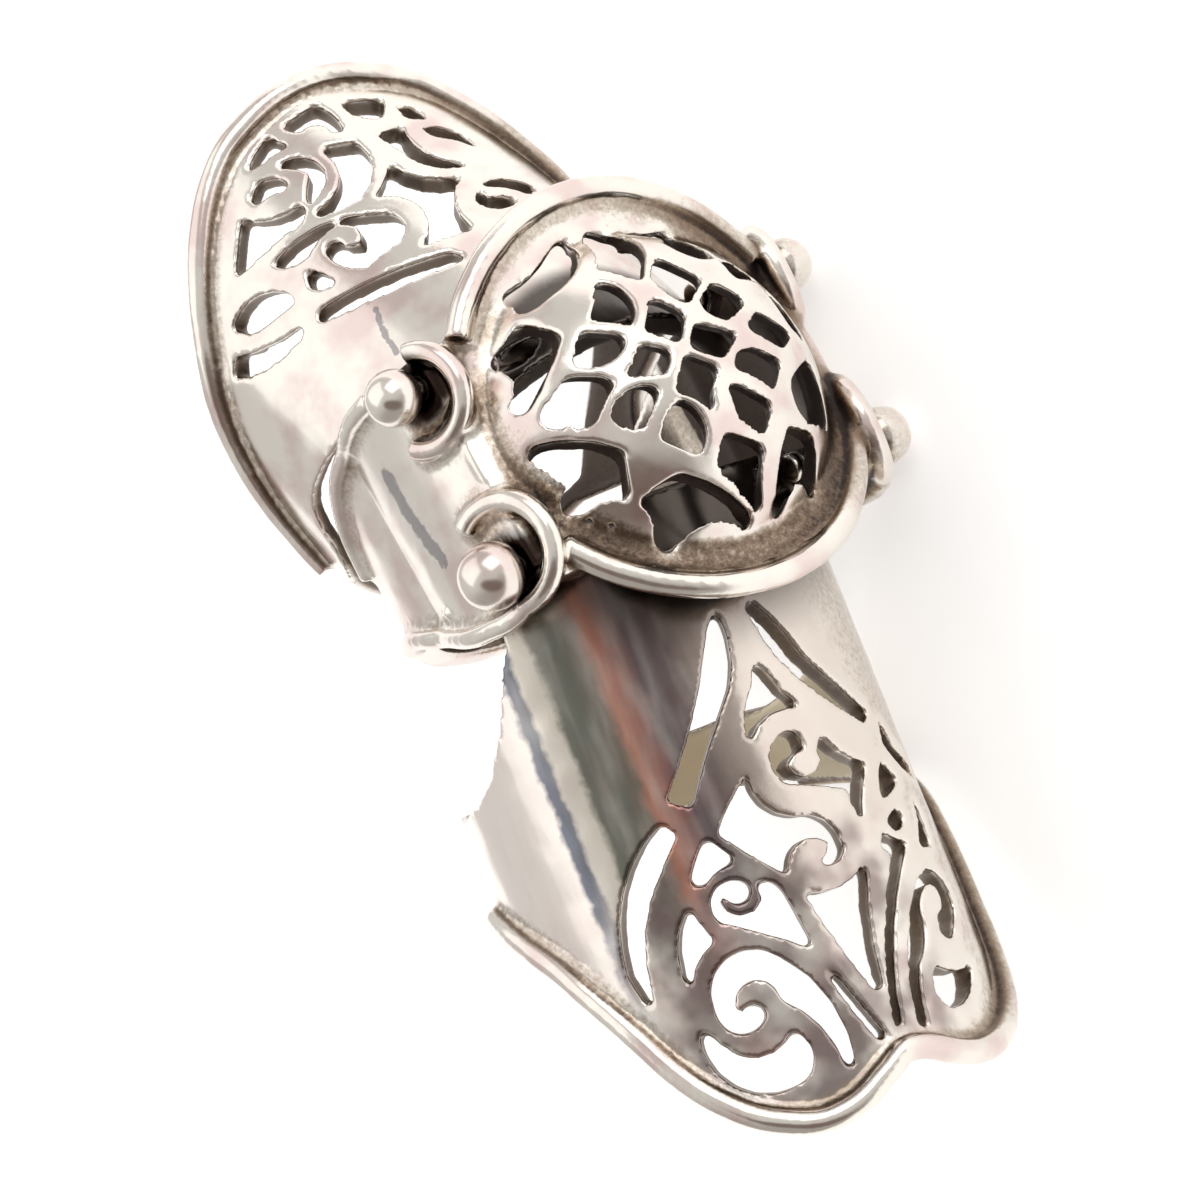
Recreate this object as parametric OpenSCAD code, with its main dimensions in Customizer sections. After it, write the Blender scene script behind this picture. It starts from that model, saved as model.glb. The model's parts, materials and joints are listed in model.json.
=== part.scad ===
// Three-segment knuckle ring: a hand plate, a domed knuckle band and a fingertip plate on ball-headed rivets.
// Lengths in mm. It is modelled as worn, finger along Y, and then laid on its right side by rest().

/* [Sheet] */
// outside radius of the two end plates
plate_r = 10.6; // [10.4:0.05:10.8]
// thickness of the sheet
sheet = 1.2; // [1:0.05:1.3]
// how far the finger's axis lies below the hinges
axis_drop = 9.4; // [9.2:0.05:9.6]
// radius of the rim wires
wire_r = 0.62; // [0.5:0.01:0.7]

/* [Hinges] */
// distance between the two rows of rivets
hinge_gap = 9.8; // [9.6:0.05:10]
// droop of the fingertip plate
tip_droop = 12.6; // [10:0.1:14]
// droop of the hand plate
hand_droop = 25.8; // [22:0.1:26]
// distance of the ball heads from the middle
ball_x = 12; // [11.8:0.05:12.4]
// radius of a rivet's shank
shank_r = 0.5; // [0.4:0.05:0.6]
// play of a shank in the band's wall
play = 0.05; // [0.02:0.01:0.1]

/* [Knuckle band] */
// outside radius of the band round the finger's top
band_r = 11.3; // [11.2:0.05:11.5]
// outside radius of the band round the finger's underside
strap_r = 10.45; // [10.3:0.05:10.6]
// radius of the saddle that the dome stands on
saddle_r = 25.6; // [24:0.1:28]
// height of the saddle over the hinges
saddle_top = 3.28; // [3.1:0.02:3.5]
// radius of the saddle's round plate
saddle_edge = 10.55; // [10.4:0.05:10.7]

/* [Dome] */
// outside radius of the dome
dome_r = 9.9; // [9.7:0.05:10.1]
// height of the dome's centre
dome_z = -2.2; // [-2.4:0.05:-2]
// thickness of the dome's web
web = 1.1; // [0.9:0.05:1.3]

/* [Hidden] */
$fn = 48;
band_z = -3.55;      // centres of the band's two circles
strap_z = -8;
saddle_wall = 0.8;
saddle_y = 0.1;      // middle of the saddle plate
opening_r = 7.9;     // opened under the dome
ball_seat = 11;      // flat under each ball head
lug = [6.5, 7.5];    // a lug's two faces
lug_r = 0.8;
inner_head = [6.1, 6.45];
inner_head_r = 0.7;
wire_sides = 8;
tip_reach = 1.2;     // how far each end plate's cap reaches past its hinge
cap = 7.72;          // above this height over the finger's axis an end plate is trimmed from the top
far = 34;
rest_turn = [0, 81.04, 0];   // it rests on a right ball head and the right sides of both rims
rest_lift = [7.28, 4.52, 13.33];

// rivets: x side, y row, ball radius
RIVETS = [
    ["rivet_hand_left", -1, 1, 1.4],
    ["rivet_tip_left", -1, -1, 1.65],
    ["rivet_hand_right", 1, 1, 1.35],
    ["rivet_tip_right", 1, -1, 1.45],
];

// rims of the end plates on the finger's tube: round the tube, along the tube
tip_rim_left = [[-24, -12.9], [-21.2, -14.6], [-19, -16], [-16.5, -18], [-14.7, -20.2], [-13.2, -22.4], [-11.9, -24.6],
    [-10.5, -26.5], [-9, -27.9], [-7.5, -28.8], [-5.9, -29.3], [-4.1, -29.1], [-2.4, -28.3], [-1.1, -27.7]];
tip_rim_right = [[0.2, -28], [1.6, -28.7], [3.1, -29.1], [4.7, -29], [6.1, -28.5], [7.4, -27.7], [8.6, -26.7],
    [9.6, -25.5], [10.4, -24], [11, -22.3], [11.5, -20.4], [12.1, -18.6], [13, -17], [14.6, -15.7], [17.4, -14.6],
    [21.2, -13.6], [24, -12.9]];
hand_rim_left = [[-24, 6.2], [-22, 9.1], [-20.1, 11.2], [-18.2, 13], [-15.7, 14.8], [-13.8, 16.3], [-11.9, 17.8],
    [-9.8, 19.3], [-7.5, 20.5], [-5.1, 21], [-2.9, 21.2]];
hand_rim_right = [[-0.6, 20.9], [1.3, 20.2], [3.3, 19.3], [4.9, 17.9], [6.3, 16.3], [7.6, 14.5], [9.2, 13],
    [11.3, 11.9], [13.8, 11], [16.4, 10.2], [19, 9.3], [21.7, 8], [24, 6.2]];
// edges toward the knuckle from the side: along the tube, height over its axis
tip_back = [[1.3, 5.6], [-0.6, 5], [-3.1, 4.4], [-4.7, 3.5], [-6.8, 2.2], [-8.5, 0.55], [-9.3, -1.25], [-9.8, -4]];
hand_back = [[-1.3, 5.6], [0.5, 5.2], [2, 4.8], [3.8, 4.5], [4.8, 3.4], [5.1, 2.24], [5.5, 0.93], [5.9, -0.85],
    [5.9, -2.2], [5.3, -3], [4.4, -3.6], [3.7, -4.6], [3.7, -5.6]];
tip_strap = [-13.8, -9.5];   // the straps under the finger, along the tube
hand_strap = [5.3, 7.4];
// the band from the side: along the finger, height over the hinges
band_tip_edge = [[-6.5, 6], [-6.5, -2], [-6.2, -5], [-4.8, -8.2], [-3.6, -11.2], [-3.6, -19]];
band_hand_edge = [[0.4, -19], [0.4, -14.7], [0.8, -14.2], [3.4, -12.4], [5.3, -9.6], [6.2, -5.5], [6.3, -2], [6.3, 6]];
edge_wire_r = 0.5;
strap_sheet = 0.7;      // the hand plate is thinner there
strap_thin = [3, 12.3];
thin_top = 5.03;        // up to this height over the finger's axis

// gaps: each row goes round one gap, corner by corner: across, along, bow of the edge to the next corner
tip_gaps = [
    [[-1.7, -5.2, -0.6], [-3.3, -9.6, 0.1], [-6.3, -13.4, 0], [-7.3, -12.7, 0.3], [-2.4, -5.8, 0]],
    [[0, -5.6, 0.5], [2.2, -10.5, 0.1], [4.8, -12.6, 0], [5.5, -12.2, -0.1], [2.2, -8.6, 0.2], [0.3, -5.2, 0]],
    [[-0.8, -8, -0.1], [0, -9.8, 0], [0.9, -11, 0.7], [-2.5, -11.5, 0], [-2.6, -11.2, -0.2], [-1.3, -9.1, 0]],
    [[0, -12.8, 0.6], [-1, -11.8, 1], [-0.9, -14.2, 0], [1.6, -15.2, 0.1], [1.7, -17.1, -0.2], [3.5, -14.4, -0.3], [1.3, -12.5, 0.2], [0.7, -13.6, -0.7], [-1.2, -13.2, -0.2]],
    [[-3.3, -12.9, 0.6], [-1.9, -15.6, -0.7], [0, -17.8, -0.5], [-1.8, -17.8, 0.4], [-0.7, -17.2, 0.9], [-3.2, -18, -0.1], [-5.6, -15, -0.1]],
    [[-6.3, -15, 0], [-5.3, -16.5, 0.2], [-7.2, -17, 0], [-7.8, -16.8, -0.1]],
    [[-4.9, -17.8, -0.3], [-3.8, -18.7, 0], [-3.4, -21.7, 0.1], [-7.1, -18.9, -1.2], [-5.1, -17.9, -0.6], [-6.5, -17.8, 0], [-6.8, -17.9, 0.8], [-4.8, -18.6, 0]],
    [[-8.1, -13.6, 1], [-12.5, -19.7, 0], [-12.1, -21.4, 0], [-11.7, -21.1, -0.6], [-8.8, -15.5, 0], [-7.5, -14.3, 0]],
    [[-8.3, -17.7, 0.1], [-7.7, -19.6, 0.5], [-9.7, -21.8, -0.6]],
    [[-7.7, -23.2, -0.4], [-6.7, -23.7, -1], [-8.9, -22.7, -1.5], [-5.2, -21.4, -0.8], [-3.7, -27.5, 0], [-4.1, -27.4, 0.5], [-5.8, -23.3, 1.2], [-8, -22.9, 0]],
    [[-10.1, -23.4, 1.4], [-6.7, -27.3, 0.9], [-5.9, -24.9, -0.9], [-9.2, -24.4, 0], [-9.7, -23.6, 0]],
    [[-2.8, -19.1, 0.5], [0.9, -18.8, 0.3], [-0.8, -24.5, 0], [-1.3, -24.6, -0.1]],
    [[-3.4, -21.8, 0], [-1.6, -26.8, 0], [-2.1, -26.8, -0.2]],
    [[6.5, -12.6, 0.5], [8.8, -15, 0], [8.9, -15.9, -0.4], [5.8, -13.8, 0]],
    [[4.9, -14.6, 0], [5.9, -15.7, -0.1], [3.7, -16.3, -0.2]],
    [[4.4, -17, -0.4], [4.5, -17.8, -0.4], [3.4, -17.3, 0]],
    [[2.7, -17.8, 0.1], [4.3, -18.6, 0.9], [-0.6, -26.5, 0], [-1, -26.6, -0.6], [2.8, -18.9, 0], [2.3, -18.4, 0]],
    [[6.8, -16.6, -0.2], [6.8, -19.3, 0], [5.4, -19, 0.2]],
    [[5, -20.2, -1.3], [5.5, -23.2, -0.5], [4.1, -23.1, 0], [4.4, -22.4, 0.8], [4.8, -20.8, 0.5], [3.1, -22.5, -0.2], [1.7, -24.2, 0.2], [0.8, -27.2, 0], [0.3, -26.8, -0.7], [3.8, -20.5, 0]],
    [[2.8, -24.6, 0.4], [5.8, -25.1, -0.6], [2.7, -26.7, -0.7]],
];
hand_gaps = [
    [[-4.5, 19.6, 0], [-2.3, 19.8, -0.2], [-2.3, 17.4, 0], [-2.8, 17.6, 0.6], [-4, 18.7, 0]],
    [[-1.1, 19.2, 0], [0.9, 18.5, -0.1], [-0.2, 17.2, -0.5]],
    [[-7.4, 18.8, 0], [-6.5, 19.3, 0], [-5.3, 19.7, 0.2], [-4.6, 18.3, 0], [-5.5, 18.6, 0], [-6.4, 18.6, 0]],
    [[-7.3, 18, 0], [-6.6, 17.5, 0], [-6.3, 16.8, 0], [-6.7, 16.5, 0], [-7.1, 16.8, 0.1], [-8.1, 17, 0], [-8.2, 17.6, 0.1]],
    [[-6.3, 17.9, -1.4], [-5.6, 14.95, 0], [-6.5, 14.75, -0.1], [-5.2, 16.3, 0.2]],
    [[-3.9, 17.2, 0], [-2.3, 16.4, -0.7], [-4.4, 13.2, -0.3], [-6.9, 14.4, 1.2], [-3.9, 16.7, 0]],
    [[-1.1, 16.2, 0], [0.5, 16.3, 1.1], [1.9, 12.3, -0.9], [-0.8, 14.6, 0], [-0.9, 15.2, 0]],
    [[1.3, 15.8, -0.8], [3.4, 13.7, 0.1], [1.4, 15, 0]],
    [[1.2, 17.7, -0.5], [2.1, 16.4, 0], [1.1, 16.7, 0]],
    [[-1.9, 14.2, 0.8], [0.7, 11.7, 0.7], [-1.4, 8, 0], [-4.1, 8.6, 1.5], [-3.8, 12.8, 0.2]],
    [[4.5, 10.1, 1.1], [0.1, 9.7, 0.4], [1.3, 8.7, 0], [2.3, 9, 0.3], [0.9, 9.6, -0.5], [1.7, 10.4, -0.1], [3.3, 9.5, 0]],
    [[-9.2, 17.2, 0.5], [-6.6, 15.2, -0.5], [-8.1, 14.6, -0.1], [-11.5, 15.4, 0]],
    [[-9.8, 14, -0.6], [-4.4, 11.8, -1], [-5.2, 9.7, 0], [-6.6, 9.7, -0.4], [-7.5, 12.2, -0.4], [-6.7, 11.5, 0], [-6.1, 11, 0.6], [-6.2, 12.8, 0.2], [-8.2, 12.7, -0.3]],
    [[-8.8, 12.3, -0.1], [-8.2, 10.3, 0], [-9, 10.8, 0], [-9.3, 11.3, 0]],
    [[-9.8, 10.1, 0], [-3.3, 7.4, 0], [-2.9, 6.5, -0.4], [-10.2, 9.6, 0]],
    [[-13.7, 14.1, -1], [-10.2, 11.6, -0.2], [-13.1, 12.9, 0]],
    [[-14.8, 13.3, 0.3], [-11, 10.4, 0], [-11.4, 10, -0.3], [-15, 12, 0], [-15.8, 12.9, 0]],
];
web_gaps = [
    [[-5.6, 7, 0.3], [-1.7, 8.5, 0], [-1.2, 8.6, 0], [-1.1, 8.3, -0.9], [-5.8, 5.7, 0.3]],
    [[0.1, 8.6, -0.8], [0.7, 5.9, 0], [-0.9, 4.3, 0], [-1.9, 5.9, 0.1]],
    [[1.7, 8.3, 0.4], [4.3, 7.6, -0.2], [4.5, 4.9, -1.2], [3, 6.7, -0.2]],
    [[-2.6, 5.2, -0.4], [-2.4, 2.9, 0], [-2.9, 2.3, 0], [-4.1, 3.5, 0]],
    [[0.9, 5.3, 0], [1.9, 3.3, 0], [0.2, 2.3, -0.3], [-0.3, 4.3, 0]],
    [[-1.3, 3.2, 0], [-0.4, 1.8, 0], [-1.4, 0.6, 0], [-2.5, 1.7, 0]],
    [[-4.9, 3.1, 0], [-3.5, 1.9, -0.7], [-5.9, 1.8, 0]],
    [[-6.2, 5.2, 0], [-5.5, 3.5, -0.1], [-8, 1.2, 0], [-8.3, 1.3, 0], [-8.4, 1.6, 0.5], [-7.8, 4.2, 0.1]],
    [[-3.2, 1.2, 0], [-2.1, 0.3, 0], [-2.8, -0.5, 0], [-4.4, 0.1, 0.1]],
    [[-7.9, 0.4, 0], [-6.4, 1.4, -0.1], [-4.95, 0.15, 0.1], [-6.3, -1.1, -0.3]],
    [[2.5, 3, 0], [3.6, 1.7, 0], [2.1, 1, -0.5], [0.9, 2.1, 0]],
    [[-0.1, 1.1, 0], [1.7, 0, 0], [0.3, -0.8, 0], [-1, 0.1, 0]],
    [[-1.4, -0.2, 0], [-0.2, -1.3, 0.5], [-1.1, -3.3, 0], [-1.4, -3.2, 0.3], [-2.6, -1.6, -0.1]],
    [[-5.7, -1.3, -0.6], [-3.4, -1.1, 0], [-4.6, -2.3, -0.2]],
    [[-2.7, -2, -0.5], [-2.3, -4.3, 0], [-2.8, -4.4, 0], [-4, -3.2, -0.2]],
    [[-8.7, -0.4, -0.2], [-5.7, -2.9, 0.1], [-5.8, -5, 0.3], [-7.6, -4.1, 0], [-8, -3.9, -0.2], [-7.7, -3, -0.1]],
    [[-5.5, -5.1, 0], [-3.7, -4.9, -0.1], [-0.2, -7.6, 0], [-0.4, -8, 0.6], [-4.6, -7.4, 0], [-4.8, -7, 0.2]],
    [[-1.1, -4.1, 0], [0.9, -5.2, 0.3], [0.4, -7.5, 0], [0, -7.4, 0], [-1.8, -5.3, 0]],
    [[0, -2.1, 0], [2, -3.5, 0], [1.1, -4.7, 0], [-0.1, -3.7, 0]],
    [[1.2, -0.9, 0], [2.3, -0.9, 0], [3.7, -1.7, 0], [2.5, -2.9, 0.1], [0.7, -1.5, 0]],
    [[4, 0.9, 0], [5.8, -0.3, 0], [4.3, -1, 0], [2.6, 0.2, 0]],
    [[6.4, -1.6, -0.2], [6.8, -4.6, 0], [5, -4.6, -1], [4.6, -2.4, 0]],
    [[2.8, -4.7, 0], [4.7, -5.1, -0.2], [4.4, -7.5, 0.6], [2.3, -7.2, 0], [1.5, -8, 0], [1.3, -7.8, -0.3]],
    [[4.6, 4.3, 0], [6.7, 4.3, 0], [6, 3.1, 0], [4.4, 3.1, 0]],
    [[6.3, 2.4, 0], [7.6, 1, 0], [7.3, -0.6, 0], [6.2, 0.3, 0]],
];

// C-shaped collars round the rivets: x side, along, height, out, radius, first angle, sweep
COLLARS = [
    [-1, 4.3, 0.1, 10.75, 2.3, 101, 215],
    [-1, -4.2, 0.15, 10.75, 2.55, 55, 228],
    [1, 4.4, 0.2, 10.75, 2.3, 101, 215],
    [1, -4.3, 0.2, 10.75, 2.45, 70, 210],
];
collar_tilt = 25;
collar_wire = 0.55;

tip_lip = concat(tip_rim_left, tip_rim_right);
hand_lip = concat(hand_rim_left, hand_rim_right);

function unit(p) = p / norm(p);
// an edge bowed to one side by a share of a circle
function bowed(a, b, bow) = let (d = b - a, c = norm(d), n = abs(bow) > 0.8 ? 6 : abs(bow) > 0.3 ? 4 : 3)
    abs(bow) < 0.05 ? [a] : let (t = 4 * atan(2 * bow / c), r = c / (2 * sin(t / 2)), e = d / c, w = [e[1], -e[0]])
    [for (i = [0:n - 1]) let (s = t * (i / n - 0.5)) (a + b) / 2 + e * r * sin(s) + w * (bow - r * (1 - cos(s)))];
function outline(rows) = [for (i = [0:len(rows) - 1]) let (a = rows[i], b = rows[(i + 1) % len(rows)])
    each bowed([a[0], a[1]], [b[0], b[1]], a[2])];
function turn(u) = u / plate_r * 180 / PI;
function on_tube(q, r) = [r * sin(turn(q[0])), q[1], r * cos(turn(q[0])) - axis_drop];
function side_view(q) = [q[1], plate_r * cos(turn(q[0]))];
function top_view(q) = [plate_r * sin(turn(q[0])), q[1]];
// a smooth line through rows of points
function smooth(p, n) = [for (i = [0:len(p) - 2]) each let (a = p[max(i - 1, 0)], b = p[i], c = p[i + 1],
    d = p[min(i + 2, len(p) - 1)]) [for (k = [0:n - 1]) let (t = k / n)
    0.5 * (2 * b + (c - a) * t + (2 * a - 5 * b + 4 * c - d) * t * t + (3 * b - a - 3 * c + d) * t * t * t)],
    p[len(p) - 1]];
function band_x(z) = z < strap_z ? sqrt(strap_r * strap_r - pow(z - strap_z, 2))
    : sqrt(band_r * band_r - pow(z - band_z, 2));

// a round wire along points with the surface's normals
module wire(p, normals, r) {
    n = len(p);
    m = wire_sides;
    points = [for (i = [0:n - 1]) let (t = unit(p[min(i + 1, n - 1)] - p[max(i - 1, 0)]),
        b = unit(cross(t, normals[i])), w = cross(b, t)) for (k = [0:m - 1]) let (a = (k + 0.5) * 360 / m)
        p[i] + r * (cos(a) * w + sin(a) * b)];
    faces = concat([for (k = [1:m - 2]) [0, k, k + 1]], [for (k = [1:m - 2]) [0, k + 1, k] + (n - 1) * m * [1, 1, 1]],
        [for (i = [0:n - 2]) for (k = [0:m - 1]) let (k2 = (k + 1) % m)
        each [[i * m + k, (i + 1) * m + k, (i + 1) * m + k2], [i * m + k, (i + 1) * m + k2, i * m + k2]]]);
    polyhedron(points, faces);
}

module along_y(a, b) translate([0, b, 0]) rotate([90, 0, 0]) linear_extrude(b - a) children();
module along_x(a, b) translate([a, 0, 0]) rotate([90, 0, 90]) linear_extrude(b - a) children();
module bar_x(a, b, r) translate([a, 0, 0]) rotate([0, 90, 0]) cylinder(b - a, r, r);

module rest() translate(rest_lift) rotate(rest_turn) children();
module tip_place() rest() translate([0, -hinge_gap / 2, 0]) rotate([tip_droop, 0, 0]) children();
module hand_place() rest() translate([0, hinge_gap / 2, 0]) rotate([-hand_droop, 0, 0]) children();

// cuts the outlines of rows out of the tube's wall
module tube_gaps(rows) for (g = rows) {
    u = (max([for (q = g) q[0]]) + min([for (q = g) q[0]])) / 2;
    translate([0, 0, -axis_drop]) rotate([0, turn(u), 0]) translate([0, 0, plate_r - 2 * sheet])
        linear_extrude(3 * sheet) polygon([for (q = outline(g)) [plate_r * sin(turn(q[0] - u)), q[1]]]);
}

// two lugs on an end plate that hold its rivets
module lugs() for (s = [-1, 1]) mirror([s < 0 ? 1 : 0, 0, 0]) {
    bar_x(lug[0], lug[1], lug_r);
    translate([lug[0], -lug_r, -2.4]) cube([lug[1] - lug[0], 2 * lug_r, 2.4]);
}
module lug_bores() bar_x(-lug[1] - 1, lug[1] + 1, shank_r + 0.03);

module tube(a, b) translate([0, 0, -axis_drop]) along_y(a, b) difference() {
    circle(plate_r);
    circle(plate_r - sheet);
}

module rim(path) {
    q = smooth(path, 3);
    wire([for (a = q) on_tube(a, plate_r + 0.2)], [for (a = q) [sin(turn(a[0])), 0, cos(turn(a[0]))]], wire_r);
}

// what lies outside the rim of a plate that runs to dir * far: from the side and from the top
module outside_rim(path, strap, dir) {
    below = [for (q = path) if (side_view(q)[1] < cap) side_view(q)];
    left = [for (q = path) if (q[0] < 0 && side_view(q)[1] < cap) side_view(q)];
    right = [for (i = [len(path) - 1:-1:0]) if (path[i][0] > 0 && side_view(path[i])[1] < cap) side_view(path[i])];
    top = [for (q = path) if (side_view(q)[1] >= cap) top_view(q)];
    for (half = [[-14, 0.02, left], [0, 14, right]]) translate([0, 0, -axis_drop]) along_x(half[0], half[1])
        polygon(concat([[dir * far, -14], [strap, -14]], half[2], [[half[2][len(half[2]) - 1][1] > 0
        ? half[2][len(half[2]) - 1][0] + dir * (cap - half[2][len(half[2]) - 1][1]) * 0.9 : 0, cap], [dir * far, cap]]));
    translate([0, 0, cap - 0.03 - axis_drop]) linear_extrude(6) polygon(concat([[-14, dir * far], [-14, top[0][1]]], top,
        [[14, top[len(top) - 1][1]], [14, dir * far]]));
}
module outside_back(path, strap, dir) translate([0, 0, -axis_drop]) along_x(-14, 14)
    polygon(concat([[dir * far, path[0][1]]], path, [[strap, path[len(path) - 1][1] - 2], [strap, -14], [dir * far, -14]]));

module tip_plate() color([0.74, 0.72, 0.68]) tip_place() {
    difference() {
        union() {
            difference() {
                tube(-far + 2, tip_reach);
                outside_rim(tip_lip, tip_strap[0], -1);
                outside_back(tip_back, tip_strap[1], 1);
                tube_gaps(tip_gaps);
            }
            lugs();
        }
        lug_bores();
    }
    rim([for (i = [1:len(tip_lip) - 2]) tip_lip[i]]);
}

module hand_plate() color([0.74, 0.72, 0.68]) hand_place() {
    difference() {
        union() {
            difference() {
                tube(-tip_reach, far - 8);
                outside_rim(hand_lip, hand_strap[1], 1);
                outside_back(hand_back, hand_strap[0], -1);
                // thinned from inside at the strap
                translate([0, 0, -axis_drop]) along_y(strap_thin[0], strap_thin[1]) intersection() {
                    circle(plate_r - strap_sheet);
                    translate([-plate_r, -plate_r]) square([2 * plate_r, plate_r + thin_top]);
                }
                tube_gaps(hand_gaps);
            }
            lugs();
        }
        lug_bores();
    }
    rim(hand_lip);
}

module saddle_2d(inset) translate([0, saddle_top - saddle_r]) circle(saddle_r - inset, $fn = 96);
module band_2d(inset) {
    translate([0, strap_z]) circle(strap_r - inset);
    intersection() {
        translate([0, band_z]) circle(band_r - inset);
        saddle_2d(inset);
    }
}
// a saddle point at angle t of the round plate
function saddle_at(t, r) = let (x = r * cos(t)) [x, saddle_y + (r + 0.3) * sin(t),
    saddle_top + 0.1 - 1.65 * pow(x / 9.2, 2)];
module saddle_wire(a, b) {
    t = [for (i = [0:24]) a + (b - a) * i / 24];
    wire([for (s = t) saddle_at(s, 10.32)], [for (s = t) unit([0.3 * cos(s), 0.3 * sin(s), 1])], wire_r);
}
// wire along one edge of the band, on both flanks
module edge_wire(path, inset) {
    q = smooth(path, 3);
    for (s = [-1, 1]) wire([for (a = (s < 0 ? q : [for (i = [len(q) - 1:-1:0]) q[i]])) [s * (band_x(a[1]) + 0.1),
        a[0] + inset, a[1]]], [for (a = (s < 0 ? q : [for (i = [len(q) - 1:-1:0]) q[i]])) [s, 0, 0]], edge_wire_r);
}

module knuckle() color([0.76, 0.74, 0.7]) rest() {
    difference() {
        union() {
            difference() {
                intersection() {
                    along_y(-8, 8) difference() {
                        band_2d(0);
                        band_2d(sheet);
                    }
                    along_x(-14, 14) polygon(concat(band_tip_edge, band_hand_edge));
                }
                translate([0, 0, -1]) cylinder(8, opening_r, opening_r);
            }
            // the round saddle plate, opened under the dome
            intersection() {
                along_y(-12, 12) difference() {
                    saddle_2d(0);
                    saddle_2d(saddle_wall);
                }
                translate([0, saddle_y, -1]) difference() {
                    cylinder(8, saddle_edge, saddle_edge);
                    translate([0, 0, -1]) cylinder(10, opening_r, opening_r);
                }
            }
            difference() {
                translate([0, 0, dome_z]) sphere(dome_r);
                translate([0, 0, dome_z]) sphere(dome_r - web);
                along_y(-12, 12) saddle_2d(saddle_wall / 2);
            }
        }
        for (g = web_gaps) translate([0, 0, -0.8]) linear_extrude(10) polygon(outline(g));
        for (r = RIVETS) translate([0, r[2] * hinge_gap / 2, 0]) mirror([r[1] < 0 ? 1 : 0, 0, 0]) {
            bar_x(8.5, 13, shank_r + play);
            bar_x(ball_seat - 0.05, 14, r[3] + 0.08);
        }
    }
    saddle_wire(28, 146.5);
    saddle_wire(210, 348);
    edge_wire([[-7.1, -0.4], [-7.05, -1.6], [-6.8, -2.8], [-6.2, -5], [-4.8, -8.2], [-3.6, -11.2], [-3.5, -13]], 0.25);
    edge_wire([[6.3, -2.6], [6.2, -5.5], [5.3, -9.6], [3.4, -12.4], [1.4, -13.8]], -0.25);
    for (c = COLLARS) mirror([c[0] < 0 ? 1 : 0, 0, 0]) translate([c[3], c[1], c[2]])
        rotate([0, 90 - collar_tilt, 0]) rotate([0, 0, c[5]]) rotate_extrude(angle = c[6]) translate([c[4], 0])
        circle(collar_wire, $fn = 16);
}

// a ball head, its shank and the small head behind the lug
module rivet(r) color([0.8, 0.78, 0.74]) mirror([r[1] < 0 ? 1 : 0, 0, 0]) {
    intersection() {
        translate([ball_x, 0, 0]) sphere(r[3]);
        bar_x(ball_seat, 15, 3);
    }
    bar_x(inner_head[1] - 0.1, ball_x, shank_r);
    bar_x(inner_head[0], inner_head[1], inner_head_r);
}
module rivet_hand_left() hand_place() rivet(RIVETS[0]);
module rivet_tip_left() tip_place() rivet(RIVETS[1]);
module rivet_hand_right() hand_place() rivet(RIVETS[2]);
module rivet_tip_right() tip_place() rivet(RIVETS[3]);

knuckle();
hand_plate();
tip_plate();
rivet_hand_left();
rivet_tip_left();
rivet_hand_right();
rivet_tip_right();
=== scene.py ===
import json
import math

import bpy
import numpy as np
from mathutils import Matrix, Vector, noise
from mathutils.bvhtree import BVHTree
from mathutils.kdtree import KDTree


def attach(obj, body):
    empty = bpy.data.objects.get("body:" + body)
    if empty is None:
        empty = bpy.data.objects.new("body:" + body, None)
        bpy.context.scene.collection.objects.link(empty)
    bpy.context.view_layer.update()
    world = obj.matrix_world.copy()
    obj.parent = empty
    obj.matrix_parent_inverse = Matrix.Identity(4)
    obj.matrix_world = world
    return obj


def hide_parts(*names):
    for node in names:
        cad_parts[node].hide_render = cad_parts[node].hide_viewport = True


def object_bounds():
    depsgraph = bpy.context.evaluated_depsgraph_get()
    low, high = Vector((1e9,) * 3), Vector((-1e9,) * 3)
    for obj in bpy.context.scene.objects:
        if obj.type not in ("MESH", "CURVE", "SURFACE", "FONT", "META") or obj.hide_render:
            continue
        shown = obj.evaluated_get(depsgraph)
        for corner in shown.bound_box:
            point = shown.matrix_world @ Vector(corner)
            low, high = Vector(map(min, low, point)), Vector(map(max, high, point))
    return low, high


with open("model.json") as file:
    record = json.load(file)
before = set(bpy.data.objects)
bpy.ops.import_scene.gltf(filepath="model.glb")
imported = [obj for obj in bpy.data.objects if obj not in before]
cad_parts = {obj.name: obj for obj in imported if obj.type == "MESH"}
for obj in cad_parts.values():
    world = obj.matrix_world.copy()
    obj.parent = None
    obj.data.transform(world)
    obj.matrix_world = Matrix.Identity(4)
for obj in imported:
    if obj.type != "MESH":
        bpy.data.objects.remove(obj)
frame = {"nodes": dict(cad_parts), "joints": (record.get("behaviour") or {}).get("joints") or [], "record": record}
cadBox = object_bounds()
scene = bpy.context.scene
mm = 0.001

# the finger's own frame as worn: x across it along the hinges, y toward the hand, z out of its back, in mm
hinges = {joint["name"]: joint for joint in frame["joints"]}
acrossAxis = Vector(hinges["tip_hinge"]["axis"]).normalized()
alongAxis = Vector((0, 1, 0))
wornAxes = np.array([acrossAxis, alongAxis, acrossAxis.cross(alongAxis)])
wornMiddle = (np.array(hinges["tip_hinge"]["pos_m"]) + np.array(hinges["hand_hinge"]["pos_m"])) / 2

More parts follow.
